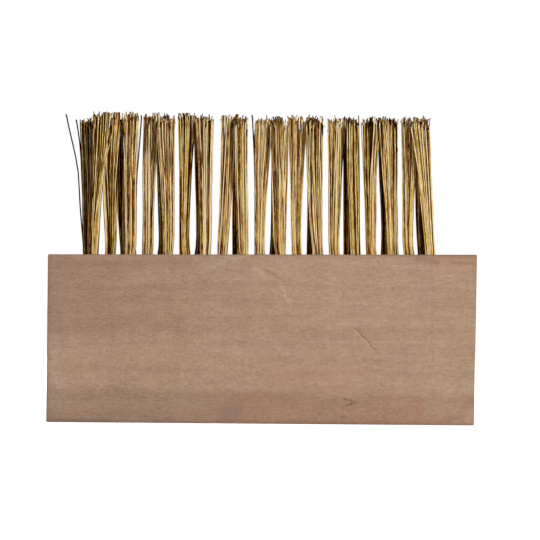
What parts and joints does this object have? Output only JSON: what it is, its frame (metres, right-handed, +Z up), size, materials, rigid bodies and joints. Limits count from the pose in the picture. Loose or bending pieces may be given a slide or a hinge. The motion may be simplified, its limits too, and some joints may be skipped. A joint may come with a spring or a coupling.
{
  "type": "weed brush",
  "caption": "Weed brush head: a tall hardwood block with a tapered handle socket in one edge and staggered rows of long brass-coated wire tufts stapled into the other.",
  "frame": {"origin": "centre of the block's lower edge face, which carries the handle socket and on which the head stands", "axes": "+Z up from the handle edge towards the wire tips, X along the block's length, -Y out of the front face"},
  "size_m": [0.24, 0.045, 0.174],
  "materials": {
    "hardwood": "planed bare hardwood, pinkish beige, fine pores and a faint level grain",
    "brassed_wire": "brass-coated steel wire, satin, with darker cut ends",
    "staple_steel": "plain drawn steel wire"
  },
  "bodies": {
    "root": {"block": "hardwood", "staple_front_01": "staple_steel", "staple_front_02": "staple_steel", "staple_front_03": "staple_steel", "staple_front_04": "staple_steel", "staple_front_05": "staple_steel", "staple_front_06": "staple_steel", "staple_front_07": "staple_steel", "staple_front_08": "staple_steel", "staple_front_09": "staple_steel", "staple_front_10": "staple_steel", "staple_middle_01": "staple_steel", "staple_middle_02": "staple_steel", "staple_middle_03": "staple_steel", "staple_middle_04": "staple_steel", "staple_middle_05": "staple_steel", "staple_middle_06": "staple_steel", "staple_middle_07": "staple_steel", "staple_middle_08": "staple_steel", "staple_middle_09": "staple_steel", "staple_rear_01": "staple_steel", "staple_rear_02": "staple_steel", "staple_rear_03": "staple_steel", "staple_rear_04": "staple_steel", "staple_rear_05": "staple_steel", "staple_rear_06": "staple_steel", "staple_rear_07": "staple_steel", "staple_rear_08": "staple_steel", "staple_rear_09": "staple_steel", "staple_rear_10": "staple_steel", "tuft_front_01": "brassed_wire", "tuft_front_02": "brassed_wire", "tuft_front_03": "brassed_wire", "tuft_front_04": "brassed_wire", "tuft_front_05": "brassed_wire", "tuft_front_06": "brassed_wire", "tuft_front_07": "brassed_wire", "tuft_front_08": "brassed_wire", "tuft_front_09": "brassed_wire", "tuft_front_10": "brassed_wire", "tuft_middle_01": "brassed_wire", "tuft_middle_02": "brassed_wire", "tuft_middle_03": "brassed_wire", "tuft_middle_04": "brassed_wire", "tuft_middle_05": "brassed_wire", "tuft_middle_06": "brassed_wire", "tuft_middle_07": "brassed_wire", "tuft_middle_08": "brassed_wire", "tuft_middle_09": "brassed_wire", "tuft_rear_01": "brassed_wire", "tuft_rear_02": "brassed_wire", "tuft_rear_03": "brassed_wire", "tuft_rear_04": "brassed_wire", "tuft_rear_05": "brassed_wire", "tuft_rear_06": "brassed_wire", "tuft_rear_07": "brassed_wire", "tuft_rear_08": "brassed_wire", "tuft_rear_09": "brassed_wire", "tuft_rear_10": "brassed_wire"}
  },
  "joints": []
}
